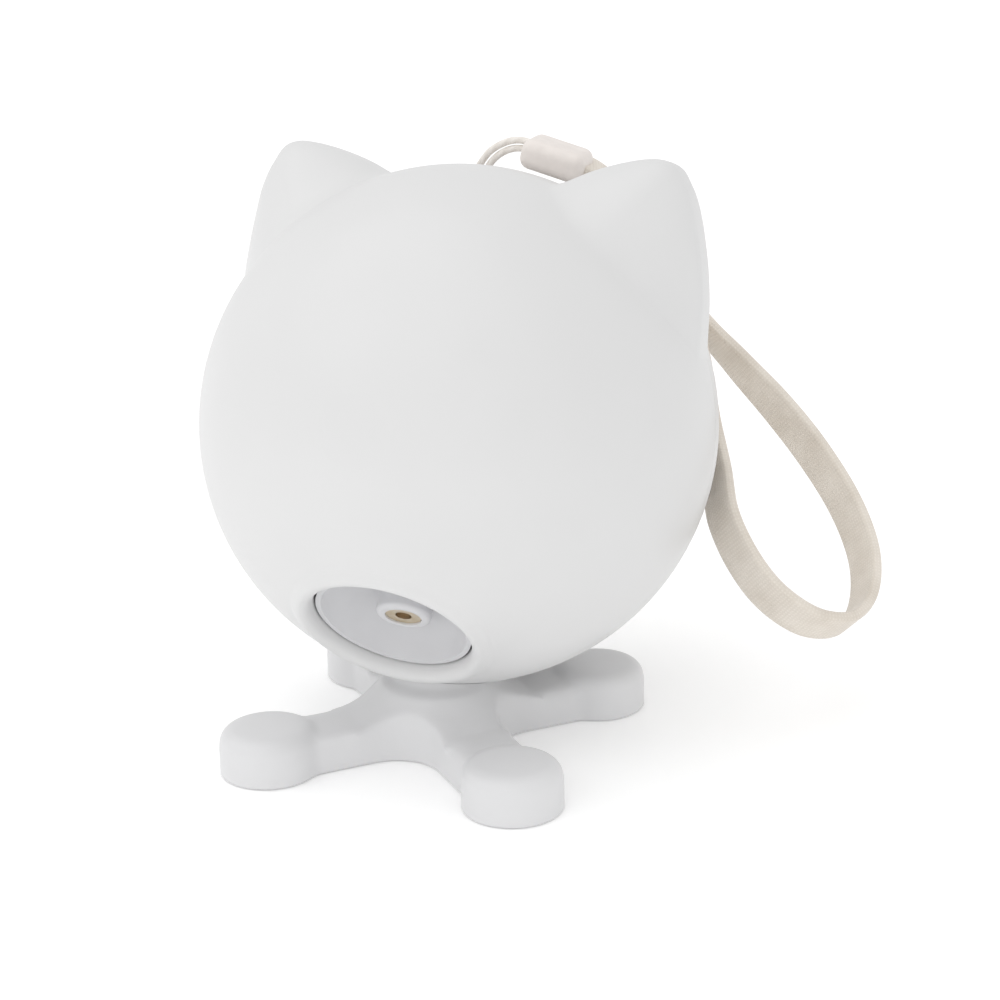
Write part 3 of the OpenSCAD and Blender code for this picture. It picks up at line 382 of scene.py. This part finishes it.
# a smooth line through the points of a route, with so many steps from each to the next
def smoothRoute(route, steps):
    points = [Vector(p) for p in route]
    line = []
    for i in range(len(points) - 1):
        a, b = points[max(i - 1, 0)], points[i]
        c, d = points[i + 1], points[min(i + 2, len(points) - 1)]
        for j in range(steps):
            t = j / steps
            square, cube = 2 * a - 5 * b + 4 * c - d, 3 * b - a - 3 * c + d
            line.append(0.5 * (2 * b + (c - a) * t + square * t ** 2 + cube * t ** 3))
    line.append(points[-1])
    return line


# the smooth curve through a table of places and values, read at many places at once
def curveThrough(table, where):
    table = np.array(table)
    slopes = np.gradient(table[:, 1], table[:, 0])
    k = np.clip(np.searchsorted(table[:, 0], where) - 1, 0, len(table) - 2)
    width = table[k + 1, 0] - table[k, 0]
    t = np.clip((where - table[k, 0]) / width, 0, 1)
    values = (2 * t ** 3 - 3 * t ** 2 + 1) * table[k, 1] + (3 * t ** 2 - 2 * t ** 3) * table[k + 1, 1]
    bends = (t ** 3 - 2 * t ** 2 + t) * slopes[k] + (t ** 3 - t ** 2) * slopes[k + 1]
    return values + bends * width


earShape = {
    # how far the ear's ridge stands from the ball's axis, in mm, at each angle from upright, in degrees
    "ridge": [
        (19.0, 43.8), (21.0, 44.5), (23.0, 46.1), (25.0, 48.0), (27.0, 49.8), (29.0, 51.6), (31.0, 53.4),
        (33.0, 55.1), (35.0, 56.5), (36.6, 57.1), (38.2, 57.1), (40.0, 56.5), (42.0, 55.8), (44.0, 54.9),
        (47.0, 53.4), (50.0, 51.9), (54.0, 50.1), (57.0, 48.8), (60.0, 47.6), (64.0, 46.0), (67.5, 44.8),
        (71.0, 43.8),
    ],
    "rootRadius": 43.9,    # mm, the ridge grows from here, just under the ball's surface
    # how far forward of the ridge the ear meets the ball, in mm, at each angle
    "foot": [
        (17.0, 1.0), (19.0, 4.0), (22.0, 8.0), (26.0, 11.5), (31.0, 14.0), (37.0, 15.2), (44.0, 14.8),
        (50.0, 13.2), (57.7, 10.2), (63.0, 7.0), (66.0, 4.6), (70.0, 1.6), (74.0, 0.8),
    ],
    "footLeast": 0.8,      # mm
    "ridgeAt": -1.8,       # mm, where the flat of the ridge ends and the front face begins
    "crispFrom": 46,       # degrees, outwards of which the front face leaves the ridge at a crisper edge
    "crispOver": 14,       # degrees, over which that change comes
    "crispPower": 1.35,
    "backRound": 1.3,      # mm, rounding of the ear's rear edge
    "fullRoundLift": 3,    # mm, an ear as high as this has the whole rounding
}


# how far an ear lifts the surface away from the ball's axis, at angles in degrees and depths in mm
def earLift(angle, depth):
    ear = earShape
    ridge = np.maximum(curveThrough(ear["ridge"], angle) - ear["rootRadius"], 0)
    ridge = np.where((angle < ear["ridge"][0][0]) | (angle > ear["ridge"][-1][0]), 0, ridge)
    foot = np.maximum(curveThrough(ear["foot"], angle), ear["footLeast"])
    t = np.clip((ear["ridgeAt"] - depth) / foot, 0, 1)
    soft = (1 - t) ** 2 * (1 + 2 * t)
    crisp = (1 - t) ** ear["crispPower"]
    outward = np.clip((angle - ear["crispFrom"]) / ear["crispOver"], 0, 1)
    lift = ridge * (soft * (1 - outward) + crisp * outward)
    bend = ear["backRound"]
    over = np.clip((depth - (headFrame["seamBack"] - bend)) / bend, 0, 1)
    rounding = bend * (1 - np.sqrt(1 - over ** 2)) * np.clip(lift / ear["fullRoundLift"], 0, 1)
    return np.maximum(lift - rounding, 0)


frontShell = {
    "segments": 480,
    "wall": 1.3,             # mm
    "seamEase": 0.16,        # mm, rounding where the halves meet
    "easeShare": 0.3,        # of it, at its middle row
    "rimDepth": 1.5,         # mm, width of the flat face at the seam
    "firstStep": 0.22,       # mm from row to row at the seam
    "stepGrowth": 1.12,
    "widestStep": 0.8,       # mm, less where the ball curves away
    "steepest": 0.12,        # of that, at the ball's front
    "frontEnd": -43.6,       # mm, where the rows stop and a face closes the ball
    # the lip's profile, in mm out from the window's axis and along it, over the crest and into the window
    "lip": [
        (17.3, 40.455), (16.9, 40.72), (16.5, 41.08), (16.1, 41.42), (15.6, 41.7), (15.1, 41.8),
        (14.55, 41.68), (14.05, 41.32), (13.7, 40.76), (13.53, 40.1), (13.5, 39.4), (13.62, 38.0),
        (13.62, 35.8),
    ],
    "lipSteps": 3,
}


# the ball's front half as rings of radius and depth, from the seam to the front
def ballProfile(start):
    shape, ball, seam = frontShell, headFrame["ballRadius"], headFrame["seamBack"]
    ease, share, end = shape["seamEase"], shape["easeShare"], shape["frontEnd"]
    rows = [seam - ease * q for q in (share, 1.0)]
    step = shape["firstStep"]
    while rows[-1] > end:
        rows.append(max(rows[-1] - step, end))
        flat = math.sqrt(1 - (rows[-1] / ball) ** 2)
        step = min(step * shape["stepGrowth"], shape["widestStep"] * max(flat, shape["steepest"]))
    profile = [(seam, start)]
    for depth in rows:
        eased = ease * share if depth > seam - ease else 0
        profile.append((depth, math.sqrt(ball ** 2 - depth ** 2) - eased))
    return profile


def raiseEars(shell, start):
    edgeGap, hair = 0.05, 1e-4  # mm
    count = len(shell.data.vertices)
    points = np.empty(count * 3)
    shell.data.vertices.foreach_get("co", points)
    points = points.reshape(-1, 3) / mm
    angle = np.degrees(np.arctan2(np.abs(points[:, 0]), points[:, 2]))
    radial = np.hypot(points[:, 0], points[:, 2])
    lift = earLift(angle, points[:, 1])
    # the inner edge of the seam's face stays round
    lift[(radial < start - edgeGap) & (points[:, 1] > headFrame["seamBack"] - hair)] = 0
    grown = (radial + lift) / np.maximum(radial, 1e-9)
    points[:, 0] *= grown
    points[:, 2] *= grown
    shell.data.vertices.foreach_set("co", (points * mm).ravel())
    shell.data.update()


def makeFrontShell():
    shape, ball, seam = frontShell, headFrame["ballRadius"], headFrame["seamBack"]
    start = math.sqrt(ball ** 2 - seam ** 2) - shape["seamEase"]
    radius, depth = start - shape["rimDepth"], seam
    bpy.ops.mesh.primitive_circle_add(vertices=shape["segments"], radius=radius * mm)
    shell = bpy.context.object
    settle(shell, Matrix.Translation((0, seam * mm, 0)) @ Matrix.Rotation(math.radians(90), 4, "X"))
    bpy.ops.object.mode_set(mode="EDIT")
    bpy.ops.mesh.select_all(action="SELECT")
    for nextDepth, nextRadius in ballProfile(start):
        move = {"value": (0, (nextDepth - depth) * mm, 0)}
        bpy.ops.mesh.extrude_region_move(TRANSFORM_OT_translate=move)
        grow = nextRadius / radius
        bpy.ops.transform.resize(value=(grow, 1, grow), center_override=(0, 0, 0))
        radius, depth = nextRadius, nextDepth
    bpy.ops.mesh.edge_face_add()
    bpy.ops.object.mode_set(mode="OBJECT")
    raiseEars(shell, start)

    firstOut = shape["lip"][0][0]
    cutHeight = math.sqrt(ball ** 2 - firstOut ** 2)  # mm along the window's axis, where the lip leaves the ball
    settle(shell, windowMatrix.inverted() @ headMatrix)  # now looking along the window's axis
    bpy.ops.object.mode_set(mode="EDIT")
    bpy.ops.mesh.select_all(action="SELECT")
    bpy.ops.mesh.normals_make_consistent(inside=False)
    finest, onCut = 1e-7, 3e-6  # m, the cut's own default is so coarse that it would join points of the ring
    bpy.ops.mesh.bisect(plane_co=(0, 0, cutHeight * mm), plane_no=(0, 0, 1), clear_outer=True, threshold=finest)
    pickEdges(shell, lambda edge: edge.is_boundary and all(
        abs(corner.co.z - cutHeight * mm) < onCut for corner in edge.verts))
    ring = Vector((firstOut, cutHeight))
    for nextRing in smoothRoute(shape["lip"], shape["lipSteps"])[1:]:  # drawn round and down into the window
        move = {"value": (0, 0, (nextRing.y - ring.y) * mm)}
        bpy.ops.mesh.extrude_region_move(TRANSFORM_OT_translate=move)
        grow = nextRing.x / ring.x
        bpy.ops.transform.resize(value=(grow, grow, 1), center_override=(0, 0, 0))
        ring = nextRing
    bpy.ops.object.mode_set(mode="OBJECT")
    applyModifier(shell, "SOLIDIFY", thickness=shape["wall"] * mm, offset=-1.0)
    settle(shell, windowMatrix)
    finish(shell, "frontShellSkin", "shellWhite", "head", ["front_shell"], 40)


makeFrontShell()
print("front shell done")


stand = {  # mm
    "toeReach": 30.6, "toeRadius": 8.35, "toeHeight": 8.0, "toeRound": 2.6,
    "legTurns": (45, 135, 225, 315),   # degrees
    "legWidth": 11.8, "legHeight": 6.7, "legRound": 2.4,
    "crotchRadius": 8.0,
    "hubEase": 0.4,          # the hub is this much smaller than the space between the crotches
    "neckRadius": 9.0, "neckHeight": 12, "neckMiddle": 4.6,
    "neckRings": [(5.8, 19.0), (6.7, 16.0), (7.6, 13.4), (8.6, 11.6), (9.8, 10.2), (11.2, 9.3)],   # up, out
    "tooDeep": -2.0,         # the feet are modelled down to here and cut off flat later
    "edgeHeight": 0.3,       # the pads hold the stand this far up
    "seatGap": 0.06,         # left free under the ball
    "hollowHeight": 3.4,     # twice the depth of the hollows in the underside
    "hollowRadius": 9.8, "toeWall": 2, "legWall": 4,
    "collarRadius": 5.8, "collarHeight": 30,
    "sides": 96, "fineSides": 128,
    "voxel": 0.42,
    "softening": 44,         # rounds of smoothing, which melt the toes, legs and neck together
}


# an upright rod or a block, the rod's radius in mm and all else in metres
def addRod(radius, height, place, sides):
    bpy.ops.mesh.primitive_cylinder_add(vertices=sides, radius=radius * mm, depth=height, location=place)
    return bpy.context.object


def addBlock(place, size):
    bpy.ops.mesh.primitive_cube_add(size=1, location=place, scale=size)
    return bpy.context.object


def roundEdges(piece, test, width, segments):
    bpy.ops.object.transform_apply(location=True, scale=True)
    bpy.ops.object.mode_set(mode="EDIT")
    pickEdges(piece, test)
    bpy.ops.mesh.bevel(offset=width * mm, segments=segments, profile=0.5)
    bpy.ops.object.mode_set(mode="OBJECT")


def makeToesAndLegs(low):
    shape, hair = stand, 1e-6
    reach = shape["toeReach"] * mm
    pieces = []
    for turn in shape["legTurns"]:
        way = Matrix.Rotation(math.radians(turn), 4, "Z")
        height = shape["toeHeight"] * mm - low
        toe = addRod(shape["toeRadius"], height, (reach, 0, low + height / 2), shape["sides"])
        roundEdges(toe, lambda edge: all(corner.co.z > shape["toeHeight"] * mm - hair for corner in edge.verts),
                   shape["toeRound"], 10)
        settle(toe, way)
        height = shape["legHeight"] * mm - low
        leg = addBlock((reach / 2, 0, low + height / 2), (reach, shape["legWidth"] * mm, height))
        roundEdges(leg, lambda edge: all(corner.co.z > low + hair for corner in edge.verts)
                   and abs(edge.verts[0].co.y - edge.verts[1].co.y) < hair, shape["legRound"], 8)
        settle(leg, way)
        pieces += [toe, leg]
    return pieces


# the low block between the legs, and the flare that rises from it to the neck
def makeHubAndFlare(low):
    shape = stand
    arm = shape["legWidth"] / 2 + shape["crotchRadius"]
    height = shape["legHeight"] * mm - low
    side = 2 * arm * mm - shape["hubEase"] * mm
    hub = addBlock((0, 0, low + height / 2), (side, side, height))
    settle(hub)
    rings = shape["neckRings"]
    bpy.ops.mesh.primitive_circle_add(
        vertices=shape["fineSides"], radius=rings[0][1] * mm, location=(0, 0, rings[0][0] * mm), fill_type="NGON")
    flare = bpy.context.object
    settle(flare)
    bpy.ops.object.mode_set(mode="EDIT")
    bpy.ops.mesh.select_all(action="SELECT")
    for (z, r), (nextZ, nextR) in zip(rings, rings[1:]):
        bpy.ops.mesh.extrude_region_move(TRANSFORM_OT_translate={"value": (0, 0, (nextZ - z) * mm)})
        bpy.ops.transform.resize(value=(nextR / r, nextR / r, 1), center_override=(0, 0, 0))
    bpy.ops.mesh.select_all(action="SELECT")
    bpy.ops.mesh.normals_make_consistent(inside=False)
    bpy.ops.object.mode_set(mode="OBJECT")
    throughAll = 0.05  # m
    for right in (-1, 1):
        for back in (-1, 1):
            for piece in (hub, flare):
                place = (right * arm * mm, back * arm * mm, 0)
                cutAway(piece, addRod(shape["crotchRadius"], throughAll, place, shape["fineSides"]))
    for piece in (hub, flare):
        settle(piece, Matrix.Rotation(math.radians(shape["legTurns"][0]), 4, "Z"))
    return [hub, flare]


def hollowOut(body):
    shape = stand
    reach, height = shape["toeReach"] * mm, shape["hollowHeight"] * mm
    hollows = [addRod(shape["hollowRadius"], height, (0, 0, 0), shape["sides"])]
    for turn in shape["legTurns"]:
        way = Matrix.Rotation(math.radians(turn), 4, "Z")
        toeHollow = addRod(shape["toeRadius"] - shape["toeWall"], height, (reach, 0, 0), shape["sides"])
        settle(toeHollow, way)
        legHollow = addBlock((reach / 2, 0, 0), (reach, (shape["legWidth"] - shape["legWall"]) * mm, height))
        settle(legHollow, way)
        hollows += [toeHollow, legHollow]
    for hollow in hollows:
        cutAway(body, hollow)


def makeStand():
    shape = stand
    low = shape["tooDeep"] * mm
    pieces = makeToesAndLegs(low) + makeHubAndFlare(low)
    neck = addRod(shape["neckRadius"], shape["neckHeight"] * mm, (0, 0, shape["neckMiddle"] * mm), shape["fineSides"])
    settle(neck, postMatrix)
    pieces.append(neck)

    freshStart()
    for piece in pieces:
        piece.select_set(True)
    body = pieces[0]
    bpy.context.view_layer.objects.active = body
    bpy.ops.object.join()
    applyModifier(body, "REMESH", mode="VOXEL", voxel_size=shape["voxel"] * mm, use_smooth_shade=True)
    applyModifier(body, "SMOOTH", factor=0.5, iterations=shape["softening"])

    seatRadius = headFrame["ballRadius"] + shape["seatGap"]
    bpy.ops.mesh.primitive_uv_sphere_add(segments=256, ring_count=128, radius=seatRadius * mm, location=ballCentre)
    cutAway(body, bpy.context.object)  # the seat under the ball
    ground = 0.2  # m, side of the cube that cuts the feet flat
    bpy.ops.mesh.primitive_cube_add(size=ground, location=(0, 0, shape["edgeHeight"] * mm - ground / 2))
    cutAway(body, bpy.context.object)
    hollowOut(body)
    collar = addRod(shape["collarRadius"], shape["collarHeight"] * mm, (0, 0, 0), shape["sides"])
    settle(collar, postMatrix)
    cutAway(body, collar)  # the hole round the post
    dropSlivers(body)
    finish(body, "standSkin", "standWhite", "stand", ["stand_body"], 35)


makeStand()
print("stand done")


# a closed tube whose cross-section is drawn at each point of a route in the ball's own mm,
# with a UV map in mm along it and round it; also gives its length in mm
def sweepTube(name, mapName, points, sectionAt):
    rings = [sectionAt(i) for i in range(len(points))]
    sides, last = len(rings[0]), len(rings) - 1
    faces = []
    for i in range(last):
        for k in range(sides):
            beside = (k + 1) % sides
            faces.append((i * sides + k, i * sides + beside, (i + 1) * sides + beside, (i + 1) * sides + k))
    faces += [tuple(reversed(range(sides))), tuple(last * sides + k for k in range(sides))]
    mesh = bpy.data.meshes.new(name)
    mesh.from_pydata([co * mm + ballCentre for ring in rings for co in ring], [], faces)
    piece = bpy.data.objects.new(name, mesh)
    bpy.context.collection.objects.link(piece)
    along, around = [0.0], [0.0]
    for a, b in zip(points, points[1:]):
        along.append(along[-1] + (b - a).length)
    for k in range(sides):
        around.append(around[-1] + (rings[0][(k + 1) % sides] - rings[0][k]).length)
    pattern = mesh.uv_layers.new(name=mapName)
    for face in mesh.polygons:
        places = [divmod(mesh.loops[corner].vertex_index, sides) for corner in face.loop_indices]
        closesRound = len(places) == 4 and any(k == sides - 1 for ring, k in places)
        for corner, (ring, k) in zip(face.loop_indices, places):
            pattern.data[corner].uv = (along[ring], around[sides if closesRound and k == 0 else k])
    chosen(piece)
    bpy.ops.object.mode_set(mode="EDIT")
    bpy.ops.mesh.select_all(action="SELECT")
    bpy.ops.mesh.normals_make_consistent(inside=False)
    bpy.ops.object.mode_set(mode="OBJECT")
    return piece, along[-1]


def wayAt(points, i):
    return (points[min(i + 1, len(points) - 1)] - points[max(i - 1, 0)]).normalized()


strap = {
    "width": 8.0, "thick": 1.8,     # mm
    "cornerRound": 0.55,            # mm
    "steps": 10,                    # from each point of the route to the next
    "route": [                      # mm from the ball's centre
        (10.5, 23.8, 42.7), (16.5, 26.6, 38.9), (22.4, 32.2, 30.6), (27.4, 37.8, 20.4), (30.8, 41.4, 10.2),
        (37.9, 41.8, 2.3), (45.1, 41.1, -4.6), (52, 39.5, -11.7), (58.5, 36.5, -19.2),
        (63, 32.4, -25.7), (65.1, 27.6, -30.4), (65.3, 22.1, -33.8), (63.4, 16.6, -35),
        (58.6, 12, -33.3), (52.5, 10.4, -29), (47.2, 11.6, -23.6), (42.6, 15, -17.4),
        (38.9, 23.4, -12.5), (35, 30.6, -6), (32.6, 34.8, 2), (31, 35, 10), (28.5, 32.8, 19.2),
        (23.6, 30.3, 27.2), (16.8, 26.6, 35.2), (10.5, 23.6, 40.4),
    ],
    "acrossBlock": (0, 1, 0),       # the tape's width lies this way in the clasp
    "acrossLoop": (-0.612, 0.401, -0.682),   # and this way in the loop
    "turnPace": 3.4,                # it turns from the one to the other over 1 / 3.4 of the length
    "endWidth": 0.82,               # of its width and thickness, where the ends go into the clasp
    "endShare": 0.11,               # of its points, over which it widens
}


def makeStrap():
    points = smoothRoute(strap["route"], strap["steps"])
    total = len(points)
    r, w, t = strap["cornerRound"], strap["width"] / 2, strap["thick"] / 2
    outline = []
    for right, up, start in ((1, 1, 0), (-1, 1, 90), (-1, -1, 180), (1, -1, 270)):
        for j in range(4):
            turn = math.radians(start + 30 * j)
            outline.append((right * (w - r) + r * math.cos(turn), up * (t - r) + r * math.sin(turn)))
        if start in (0, 180):  # the wide faces have points between their corners
            outline += [(right * (w - r) * q, up * t) for q in (0.66, 0.33, 0, -0.33, -0.66)]

    def section(i):
        way, fromEnd = wayAt(points, i), min(i, total - 1 - i)
        share = min(fromEnd / (total - 1) * strap["turnPace"], 1)
        share = share * share * (3 - 2 * share)
        narrow = strap["endWidth"] + (1 - strap["endWidth"]) * min(fromEnd / (strap["endShare"] * total), 1)
        wanted = Vector(strap["acrossBlock"]) * (1 - share) + Vector(strap["acrossLoop"]) * share
        across = (wanted - way * wanted.dot(way)).normalized()
        up = way.cross(across)
        return [points[i] + across * a * narrow + up * b * narrow for a, b in outline]

    piece, length = sweepTube("hangStrapTape", "strapRun", points, section)
    finish(piece, "hangStrapTape", "tape", "strap", ["hang_strap"], 50)


cord = {
    "radius": 0.6,                  # mm, one strand
    "sides": 16,
    "steps": 6,
    "route": [                      # mm from the ball's centre
        (6.2, 23.8, 43.9), (3.2, 23.8, 44.6), (0.5, 23.6, 44.2), (-2.3, 23.3, 42.6),
        (-4.2, 22.9, 40.2), (-5.3, 22.3, 37.8), (-5.75, 21.3, 35.5), (-4, 20.5, 33.8),
        (-2.25, 21.3, 35.5), (-2.9, 22.2, 37.5), (-2.8, 22.8, 39.5), (-1.5, 23.3, 41.4),
        (0.7, 23.6, 42.8), (3.2, 23.8, 43.2), (6.2, 23.8, 42.5),
    ],
}


def makeCord():
    points = smoothRoute(cord["route"], cord["steps"])

    def section(i):
        way = wayAt(points, i)
        a = way.cross(Vector((0, 1, 0))).normalized()
        b = way.cross(a)
        turns = [2 * math.pi * k / cord["sides"] for k in range(cord["sides"])]
        return [points[i] + (a * math.cos(q) + b * math.sin(q)) * cord["radius"] for q in turns]

    piece, length = sweepTube("lanyardCordLaid", "cordRun", points, section)
    finish(piece, "lanyardCordLaid", "cord", "strap", ["lanyard_cord"], 60)


clasp = {  # mm, from the ball's centre
    "middle": (9.7, 23.5, 41.8),
    "size": (11.4, 8.2, 5.3),
    "round": 1.9,
    "tilt": 15.0,                   # degrees
}


def makeClasp():
    bpy.ops.mesh.primitive_cube_add(size=1, scale=[side * mm for side in clasp["size"]])
    block = bpy.context.object
    roundEdges(block, lambda edge: True, clasp["round"], 10)
    turned = Matrix.Rotation(math.radians(clasp["tilt"]), 4, "Y")
    settle(block, Matrix.Translation(ballCentre + Vector(clasp["middle"]) * mm) @ turned)
    finish(block, "strapClaspBlock", "clasp", "strap", ["strap_clasp"], 60)


makeStrap()
makeCord()
makeClasp()
print("strap, cord and clasp done")


studio = {
    "floorSide": 6.0,       # m
    "floorTones": ("#fcfcfc", "#fefefe"),
    "floorPatch": 180.0,    # mm
    "floorGlow": 0.13,      # so that the floor runs into the white behind it without an edge
    "worldTone": "#ffffff",
    "worldStrength": 0.88,
    "key": {"place": (-0.4, -0.3, 1.25), "size": 2.2, "power": 5.6},    # m, m, W
    "fill": {"place": (0.0, -1.2, 0.12), "size": 1.2, "power": 1.3},
}


# painted board, rolled flat: an even, matt white without a sheen
def makeFloor():
    bpy.ops.mesh.primitive_plane_add(size=studio["floorSide"], location=(0, 0, 0))
    floor = bpy.context.object
    floor.name = "paleFloor"
    material, tree, shader = newMaterial(
        "painted board floor", Roughness=0.95, Specular_IOR_Level=0.0,
        Emission_Color=(1, 1, 1, 1), Emission_Strength=studio["floorGlow"])
    driftColour(tree, shader, *studio["floorTones"], studio["floorPatch"], objectPlaces(tree))
    floor.data.materials.append(material)


def makeLight():
    world = bpy.data.worlds.new("softRoom")
    bpy.context.scene.world = world
    world.use_nodes = True
    tree = world.node_tree
    back = tree.nodes["Background"]
    back.inputs["Color"].default_value = hexColour(studio["worldTone"])
    back.inputs["Strength"].default_value = studio["worldStrength"]
    # plain white where the room is seen directly
    seen = addNode(tree, "ShaderNodeBackground", {"Color": hexColour(studio["worldTone"]), "Strength": 1.0})
    rays = addNode(tree, "ShaderNodeLightPath")
    mix = addNode(tree, "ShaderNodeMixShader", {},
                  {0: rays.outputs["Is Camera Ray"], 1: back.outputs[0], 2: seen.outputs[0]})
    tree.links.new(mix.outputs[0], tree.nodes["World Output"].inputs["Surface"])
    for name in ("key", "fill"):
        lamp = studio[name]
        place = Vector(lamp["place"])
        bpy.ops.object.light_add(type="AREA", location=place)
        light = bpy.context.object
        light.name = name + "Light"
        light.data.shape = "DISK"
        light.data.size = lamp["size"]
        light.data.energy = lamp["power"]
        light.rotation_euler = (place - ballCentre).to_track_quat("Z", "Y").to_euler()
    bpy.context.scene.view_settings.view_transform = "Standard"


makeFloor()
makeLight()
print("studio done")

freshStart()
